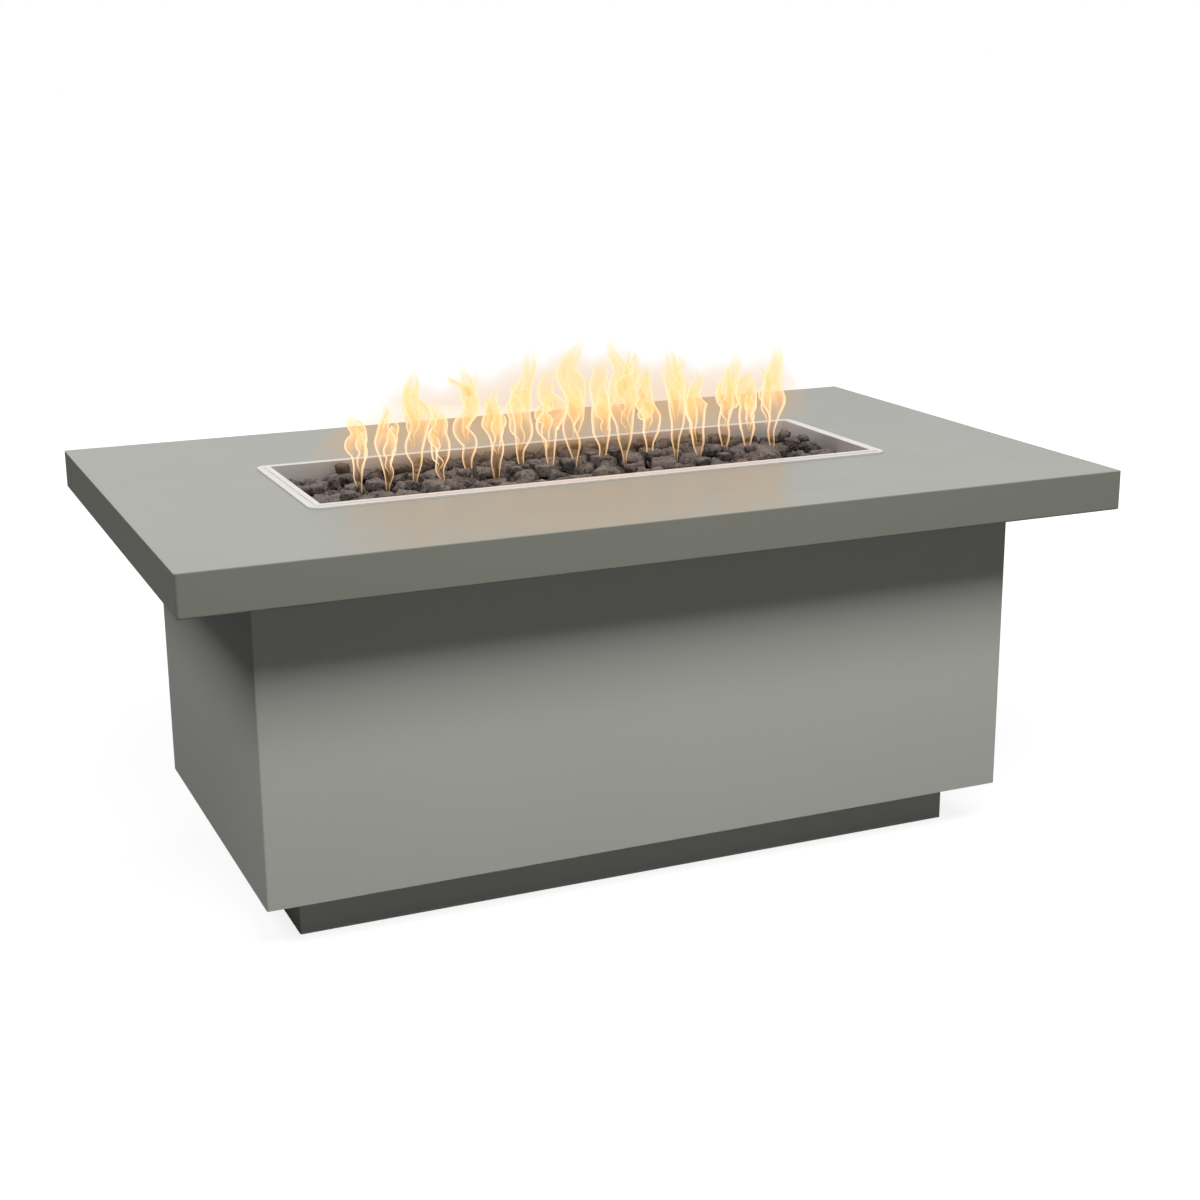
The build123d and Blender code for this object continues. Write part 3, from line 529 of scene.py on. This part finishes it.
def rough_stone(centre, corners, planes, directions):
    """A weathered rock that fills a flat-faced one: extra breaks, softened edges, a lumpy skin, and a
    tone with painted light on its top and painted shade in its cracks.
    """
    normals = [np.array(n) for n, d in planes]
    reach = [d - np.dot(n, centre) for n, d in planes]
    for extra in range(rock_breaks):
        way = lumps.normal(size=3)
        way /= np.linalg.norm(way)
        normals.append(way)
        reach.append(lumps.uniform(*break_reach) * ((corners - centre) @ way).max())
    push = np.clip(directions @ np.array(normals).T / np.maximum(reach, least_reach), 0, None)
    radius = (push**edge_sharpness).sum(axis=1) ** (-1 / edge_sharpness)
    skin = np.full(len(directions), skin_size)
    for waves, sharpness, depth in skin_bumps:
        skin += depth * ripple(directions, waves, sharpness)
    for waves, sharpness, depth in skin_cracks:
        skin -= depth * np.abs(ripple(directions, waves, sharpness))
    pose = Matrix.Identity(3)
    for axis, most in (("X", rock_tip), ("Y", rock_tip), ("Z", rock_turn)):
        pose = pose @ Matrix.Rotation(math.radians(lumps.uniform(-most, most)), 3, axis)
    size = lumps.uniform(*rock_size)
    shape = directions * (radius * size * np.clip(skin, *skin_limits))[:, None]
    shape = shape @ np.array(pose)
    top = shape[:, 2] / shape[:, 2].max()
    facet = lumps.uniform(-facet_tone, facet_tone, len(normals))[push.argmax(axis=1)]
    # painted light and shade: paler towards the rock's top and darker in the cracks and hollows of its
    # skin, over its own random tone and facets
    tone_and_shade = lumps.uniform(*stone_tone) + top_painted_light * smooth(*top_painted_light_span, top)
    tone_and_shade = tone_and_shade + relief_painted_shade * (skin - skin.mean()) + facet
    return centre + shape + (0, 0, rock_lift), np.clip(tone_and_shade, 0, 1)


def rock_bed():
    """Every CAD rock weathered, with small chips lying in the gaps and over the burner."""
    fine, fine_faces = ball(level=4)
    coarse, coarse_faces = ball(level=3)
    pan_low, pan_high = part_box("burner_pan")
    burner_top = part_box("burner")[1][2]
    points, faces, tones_and_shade = [], [], []
    count = 0

    def place(stone, triangles):
        nonlocal count
        points.append(stone[0])
        faces.append(triangles + count)
        tones_and_shade.append(stone[1])
        count += len(stone[0])

    for corners, planes in loose_parts("lava_rock"):
        centre = (corners.min(axis=0) + corners.max(axis=0)) / 2
        shown = corners[:, 2].max() > burner_top + bed_gap
        directions, triangles = (fine, fine_faces) if shown else (coarse, coarse_faces)
        shape, tone_and_shade = rough_stone(centre, corners, planes, directions)
        if shown:
            along = math.exp(-((centre[0] / heap_half) ** 2))
            heap = heap_height * along * smooth(*heap_front, centre[1])
            shape[:, 2] += np.clip(pan_high[2] - bed_gap - shape[:, 2].max(), 0, heap)
        place((shape, tone_and_shade), triangles)
    bed_tree = BVHTree.FromPolygons(np.concatenate(points).tolist(), np.concatenate(faces).tolist())
    half = (pan_high[0] - pan_low[0]) / 2 - chip_margin
    depth = (pan_high[1] - pan_low[1]) / 2 - chip_margin
    for chip in range(chip_count):
        size = chance.uniform(*chip_radius)
        over_burner = chip % 2 == 0
        x = chance.uniform(-half, half)
        y = chance.uniform(-chip_lane, chip_lane) if over_burner else chance.uniform(-depth, depth)
        hit = bed_tree.ray_cast(Vector((x, y, pan_high[2] + chip_drop)), Vector((0, 0, -1)))[0]
        if hit is None or hit.z + size > pan_high[2]:
            continue
        seat = np.array((x, y, max(hit.z, burner_top) + chip_seat * size))
        cube = []
        for way in axes_both:
            face = Vector(way)
            cube.append((face, face.dot(Vector(seat)) + size * chance.uniform(*chip_faces)))
        reach = [(sx, sy, sz) for sx in both_sides for sy in both_sides for sz in both_sides]
        place(rough_stone(seat, seat + size * np.array(reach), cube, coarse), coarse_faces)
    bed_low, bed_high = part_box("lava_rock")
    kept = np.clip(np.concatenate(points), bed_low, (bed_high[0], bed_high[1], pan_high[2]))
    bed = new_object("lava_rock_bed", kept, np.concatenate(faces), materials["lava_rock"])
    # the tint holds each stone's own tone with painted light on its top and painted shade in its cracks
    tint = bed.data.attributes.new("tint", "FLOAT", "POINT")
    tint.data.foreach_set("value", np.concatenate(tones_and_shade))
    return bed


bed = rock_bed()
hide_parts("lava_rock")
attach(bed, "table")


def through(knots, v):
    """A smooth curve through evenly spaced values."""
    knots = np.asarray(knots, float)
    ends = np.concatenate([[2 * knots[0] - knots[1]], knots, [2 * knots[-1] - knots[-2]]])
    t = v * (len(knots) - 1)
    i = np.clip(t.astype(int), 0, len(knots) - 2)
    f = t - i
    a, b, c, d = ends[i], ends[i + 1], ends[i + 2], ends[i + 3]
    return b + 0.5 * f * (c - a + f * (2 * a - 5 * b + 4 * c - d + f * (3 * (b - c) + d - a)))


def along_spine(spine, v):
    """The points of a spine at the given shares of its length."""
    spine = np.asarray(spine)
    return np.stack([through(spine[:, axis], v) for axis in range(3)], axis=-1)


class Fire:
    """Collects the skins of fire: points, faces, how far each point covers, and its colour."""

    def __init__(self):
        self.points, self.faces, self.cover, self.tint = [], [], [], []
        self.count = 0

    def skin(self, points, cover, tint):
        """A tube of rings from the lowest to the highest, closed across both ends."""
        rows, ring = cover.shape
        grid = np.arange(rows * ring).reshape(rows, ring) + self.count
        beside = np.roll(grid, -1, axis=1)
        quads = np.stack([grid[:-1], beside[:-1], beside[1:], grid[1:]], axis=-1)
        near = np.arange(ring // 2 - 1)
        across = np.stack([near, near + 1, ring - 2 - near, ring - 1 - near], axis=-1)
        self.points.append(points.reshape(-1, 3))
        self.faces += [quads.reshape(-1, 4), grid[0][across[:, ::-1]], grid[-1][across]]
        self.cover.append(cover.reshape(-1))
        self.tint.append(tint.reshape(-1, 3))
        self.count += rows * ring

    def tongue(self, spine, left, right, depth, rows=80, ring=36, **light):
        """A hollow tongue of fire along a spine, with half widths to its left and right."""
        v = np.linspace(0, 1, rows)
        centre = along_spine(spine, v)
        course = np.gradient(centre, axis=0)
        course /= np.maximum(np.hypot(course[:, 0], course[:, 2]), 1e-6)[:, None]
        phi = np.linspace(0, 2 * math.pi, ring, endpoint=False)
        c, s = np.cos(phi)[None, :], np.sin(phi)[None, :]
        ends = np.sqrt(np.clip(np.minimum(v, 1 - v) / end_rounding, end_opening, 1))[:, None]
        reach = np.where(c > 0, through(right, v)[:, None], through(left, v)[:, None])
        across = c * np.maximum(reach, least_width) * ends
        x = centre[:, 0:1] + across * course[:, 2:3]
        y = centre[:, 1:2] + s * np.maximum(through(depth, v)[:, None], least_depth) * ends
        z = centre[:, 2:3] - across * course[:, 0:1]
        self.skin(np.stack([x, y, z], axis=-1), *self.light(v[:, None], c, s, reach, **light))

    def light(self, v, c, s, reach, body, edge, low, fills):
        """Cover and colour of a tongue: a streaked sheet, bright sides, inner threads, a ragged top."""
        # c and s go round the tongue and v goes along it, so their factors are numbers of waves
        phase = [chance.uniform(0, 2 * math.pi) for wave in range(6)]
        cloud = np.sin(3 * c + 5 * v + phase[0]) * np.sin(2 * s - 8 * v + phase[1])
        ripples = np.sin(9 * c - 6 * v + 3 * s + phase[2])
        streak = np.clip(streak_mean + cloud_depth * cloud + ripple_depth * ripples, streak_least, 1)
        full = smooth(0.0, fills, v)
        thickness = side_thickness * (root_thickness + (1 - root_thickness) * full)
        band = np.clip(thickness / np.maximum(reach, 1e-3), *side_limits)
        rim = smooth(1 - band, 1 - side_blur * band, np.abs(c))
        threads = 0 * c * v
        for thread, half_waves in enumerate(thread_half_waves):
            line = thread_swing * np.sin(half_waves * math.pi * v + phase[3 + thread])
            facing = np.sign(s) == 1 - 2 * thread
            bright = np.exp(-(((c - line) / thread_width) ** 2))
            threads = threads + facing * bright * smooth(fills, fills + thread_fills, v)
        inside = body * (low + (1 - low) * smooth(fills, fills + body_fills, v)) * streak
        side = edge * (root_cover + (1 - root_cover) * full) * np.maximum(rim, thread_cover * threads)
        ragged = top_height + top_ragged * np.sin(2.6 * c + 1.5 * s + phase[5])
        fade = smooth(*root_fade, v) * (1 - smooth(ragged - top_fade[0], ragged + top_fade[1], v))
        cover = np.clip(np.maximum(inside, side) * fade, 0, most_cover)
        sheet = flame_low + (flame_body - flame_low) * smooth(*body_turns, v)[..., None]
        rims = flame_side_low + (flame_side - flame_side_low) * smooth(*side_turns, v)[..., None]
        lit = side / np.maximum(side + sheet_weight * inside, 1e-4)
        return cover, sheet + (rims - sheet) * lit[..., None]

    def lick(self, root, tip, big, fullness, body):
        """One tongue from root to tip with sides that wander apart; its spine is given back."""
        knots = len(tongue_widths) + 2
        unrest = chance.uniform(*lick_unrest)
        sweep = chance.uniform(-lick_sweep, lick_sweep) * big
        spine = []
        for k in range(knots):
            share = k / (knots - 1)
            lean = share**lean_power
            stray = chance.gauss(0, lick_stray) * big * unrest * share
            aside = stray + sweep * share**sweep_power
            spine.append(root + (tip - root) * (lean, lean, share) + (aside, stray_depth * stray, 0))
        full = fullness * (1 - width_by_height + width_by_height * big)
        widths = []
        for side in both_sides:
            swell = [chance.uniform(*span) * full for span in tongue_widths]
            widths.append([root_width, *swell, chance.uniform(*tip_width)])
        left, right = widths
        swell = [depth_share * min(pair) for pair in zip(left[1:-1], right[1:-1])]
        depth = [root_depth, *swell, tip_depth]
        fills = np.clip((fill_level - root[2]) / (tip[2] - root[2]), *fill_limits)
        self.tongue(spine, left, right, depth, body=body, edge=tongue_edge, low=tongue_low, fills=fills)
        return np.array(spine)

    def wisp(self, spine, big, high):
        """A small curl of fire that leaves the upper part of a tongue sideways."""
        start = along_spine(spine, np.array([chance.uniform(*wisp_start)]))[0]
        side = chance.choice(both_sides)
        out = side * chance.uniform(*wisp_reach) * big
        rise = min(chance.uniform(*wisp_rise) * big, high + wisp_over - start[2])
        curl = side * chance.uniform(*wisp_curl)
        path = []
        for k in range(wisp_knots):
            share = k / (wisp_knots - 1)
            bend = curl * math.sin(wisp_half_turns * math.pi * share)
            lift = rise * share**wisp_lift_power - wisp_sink * (1 - share)
            path.append(start + (out * share**wisp_out_power + bend, wisp_slant * out * share, lift))
        thin = [wisp_root_width, *[chance.uniform(*span) for span in wisp_widths], wisp_tip_width]
        depth = [depth_share * width for width in thin]
        self.tongue(path, thin, thin, depth, rows=44, ring=22, body=0.6, edge=0.6, low=0.7, fills=0.2)

    def haze(self, spots):
        """A faint pillow of glow behind the tongues, under an outline that follows their tops."""
        columns, rows = 150, 50
        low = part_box("burner_pan")[1][2]
        x = np.linspace(spots[0][0] - haze_margin, spots[-1][0] + haze_margin, columns)
        x = np.concatenate([x, x[::-1]])[None, :]
        face = np.repeat(both_sides, columns)[None, :]
        crest = 0
        for spot_x, spot_top in spots:
            dome = (spot_top + haze_rise - low) * np.exp(-(((x - spot_x) / haze_reach) ** 2))
            crest = crest + dome**haze_crest_power
        share = np.linspace(0, 1, rows)[:, None]
        z = low + share * crest ** (1 / haze_crest_power)
        glow = 0
        for spot_x, spot_top in spots:
            above = smooth(spot_top - haze_fall, spot_top + haze_rise, z)
            rise = smooth(low, low + haze_foot, z) * (1 - above)
            glow = glow + np.exp(-(((x - spot_x) / haze_width) ** 2)) * rise
        glow = 1 - np.exp(-glow * (1 - smooth(*haze_crest_fade, share)))
        y = haze_behind + face * (haze_least_depth + haze_depth * glow)
        points = np.stack([x + 0 * z, y, z], axis=-1)
        cover = 1 - np.sqrt(1 - haze_cover * glow)
        self.skin(points, cover, np.broadcast_to(flame_haze, (*cover.shape, 3)))

    def make(self, name):
        """All the skins as one mesh, with cover and colour on its points."""
        points = np.concatenate(self.points)
        fire = new_object(name, points, np.concatenate(self.faces), materials["flame"])
        cover = fire.data.attributes.new("fire_cover", "FLOAT", "POINT")
        cover.data.foreach_set("value", np.concatenate(self.cover))
        shade = fire.data.attributes.new("fire_colour", "FLOAT_COLOR", "POINT")
        rgba = np.concatenate([np.concatenate(self.tint), np.ones((self.count, 1))], axis=1)
        shade.data.foreach_set("color", rgba.reshape(-1))
        return fire


def flame_rows():
    """A main tongue, a twin that branches off it and a few wisps for every CAD flame, with haze."""
    flat = 1e-4
    fire = Fire()
    spots = []
    for corners, planes in loose_parts("flames"):
        low = corners[:, 2].min()
        high = corners[:, 2].max()
        root = corners[corners[:, 2] < low + flat].mean(axis=0)
        tip = corners[corners[:, 2] > high - flat].mean(axis=0)
        root[2] = low + root_rise
        tip[2] = high + tip_rise
        big = (high - low) / usual_height
        spots.append(((root[0] + tip[0]) / 2, high))
        spine = fire.lick(root, tip, big, 1.0, main_body)
        aside = chance.choice(both_sides)
        branch = along_spine(spine, np.array([chance.uniform(*twin_branch)]))[0]
        twin_root = branch + (twin_step * aside, twin_step, 0)
        twin_tip = root + (tip - root) * chance.uniform(*twin_height)
        twin_tip += (aside * chance.uniform(*twin_lean), twin_step, 0)
        twin = fire.lick(twin_root, twin_tip, big, twin_fullness, twin_body)
        for curl in range(chance.choice(wisp_counts)):
            fire.wisp(chance.choice((spine, spine, twin)), big, high)
    fire.haze(sorted(spots))
    return fire.make("flame_tongues")


fire = flame_rows()
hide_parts("flames")
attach(fire, "table")
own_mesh(fire)


def floor_material():
    """Pale floor: white to the eye, with the object's soft shadow kept, and dim in reflections."""
    pale = Surface("floor")
    pale.set(Base_Color=colour(white, floor_shadow), Roughness=0.9, Specular_IOR_Level=0.0)
    path = pale.add("ShaderNodeLightPath")
    shown = pale.add("ShaderNodeMath", operation="MAXIMUM")
    pale.link(path.outputs["Is Camera Ray"], shown.inputs[0])
    pale.link(path.outputs["Is Transmission Ray"], shown.inputs[1])
    away = pale.add("ShaderNodeVectorMath", operation="LENGTH")
    pale.link(pale.place, away.inputs[0])
    lit = pale.ramp(away.outputs["Value"], floor_near_light, floor_far_light, floor_near, floor_far)
    own_light = pale.add("ShaderNodeEmission")
    pale.link(lit, own_light.inputs["Strength"])
    both = pale.add("ShaderNodeAddShader")
    pale.link(pale.shader.outputs["BSDF"], both.inputs[0])
    pale.link(own_light.outputs["Emission"], both.inputs[1])
    dim = pale.add("ShaderNodeBsdfDiffuse")
    dim.inputs["Color"].default_value = colour(white, floor_bounce)
    pick = pale.add("ShaderNodeMixShader")
    pale.link(shown.outputs["Value"], pick.inputs["Fac"])
    pale.link(dim.outputs["BSDF"], pick.inputs[1])
    pale.link(both.outputs["Shader"], pick.inputs[2])
    pale.link(pick.outputs["Shader"], pale.out.inputs["Surface"])
    return pale.material


floor_corners = [(x * floor_half, y * floor_half, 0) for x, y in ((-1, -1), (1, -1), (1, 1), (-1, 1))]
floor = new_object("floor", floor_corners, [(0, 1, 2, 3)], floor_material(), rounded=False)


def white_surround():
    """A world that is white to the eye and in reflections, and a dim fill for all other light."""
    world = bpy.data.worlds.new("surround")
    world.use_nodes = True
    sky = world.node_tree
    fill = sky.nodes["Background"]
    fill.inputs["Color"].default_value = colour(surround_colour)
    fill.inputs["Strength"].default_value = surround
    backdrop = sky.nodes.new("ShaderNodeBackground")
    backdrop.inputs["Color"].default_value = colour(white)
    backdrop.inputs["Strength"].default_value = 1.0
    path = sky.nodes.new("ShaderNodeLightPath")
    seen = sky.nodes.new("ShaderNodeMath")
    seen.operation = "MAXIMUM"
    shown = sky.nodes.new("ShaderNodeMath")
    shown.operation = "MAXIMUM"
    pick = sky.nodes.new("ShaderNodeMixShader")
    sky.links.new(path.outputs["Is Camera Ray"], seen.inputs[0])
    sky.links.new(path.outputs["Is Glossy Ray"], seen.inputs[1])
    sky.links.new(seen.outputs["Value"], shown.inputs[0])
    sky.links.new(path.outputs["Is Transmission Ray"], shown.inputs[1])
    sky.links.new(shown.outputs["Value"], pick.inputs["Fac"])
    sky.links.new(fill.outputs["Background"], pick.inputs[1])
    sky.links.new(backdrop.outputs["Background"], pick.inputs[2])
    sky.links.new(pick.outputs["Shader"], sky.nodes["World Output"].inputs["Surface"])
    return world


scene.world = white_surround()


def soft_lamp(name, place, aim, width, height, power):
    """A broad lamp that neither the camera nor a reflection sees."""
    lamp = bpy.data.lights.new(name, "AREA")
    lamp.shape = "RECTANGLE"
    lamp.size = width
    lamp.size_y = height
    lamp.energy = power
    item = bpy.data.objects.new(name, lamp)
    item.location = place
    item.rotation_euler = (Vector(aim) - Vector(place)).to_track_quat("-Z", "Y").to_euler()
    item.visible_camera = False
    item.visible_glossy = False
    scene.collection.objects.link(item)


# lamps: places and sizes in metres, power in watts
middle = (0, 0, 0.45)
rear_foot = (0, 0, 0.25)
front_foot = (0, 0, 0.2)
soft_lamp("front_key", (0.2, -2.2, 3.1), middle, width=3.2, height=1.2, power=148)
soft_lamp("left_fill", (-2.3, 0.5, 2.9), middle, width=1.4, height=1.0, power=70)
soft_lamp("rear_fill", (1.8, 3.0, 1.7), middle, width=2.4, height=1.6, power=28)
soft_lamp("rear_low_fill", (2.3, 3.2, 0.55), rear_foot, width=3.0, height=0.7, power=40)
soft_lamp("low_fill", (0.2, -3.6, 0.6), front_foot, width=3.0, height=0.8, power=12)

# camera: turned to the right, dipped and tilted from a level look along +Y
turn = math.radians(camera_turn)
dip = math.radians(camera_dip)
tilt = math.radians(camera_tilt)
ahead = Vector((math.sin(turn) * math.cos(dip), math.cos(turn) * math.cos(dip), -math.sin(dip)))
level = Vector((math.cos(turn), -math.sin(turn), 0))
above = level.cross(ahead)
right = math.cos(tilt) * level + math.sin(tilt) * above
upward = math.cos(tilt) * above - math.sin(tilt) * level
lens = bpy.data.cameras.new("camera")
lens.lens = camera_lens
lens.sensor_width = camera_sensor
camera = bpy.data.objects.new("camera", lens)
axes = Matrix((right, upward, -ahead)).transposed().to_4x4()
camera.matrix_world = Matrix.Translation(camera_place) @ axes
scene.collection.objects.link(camera)
scene.camera = camera
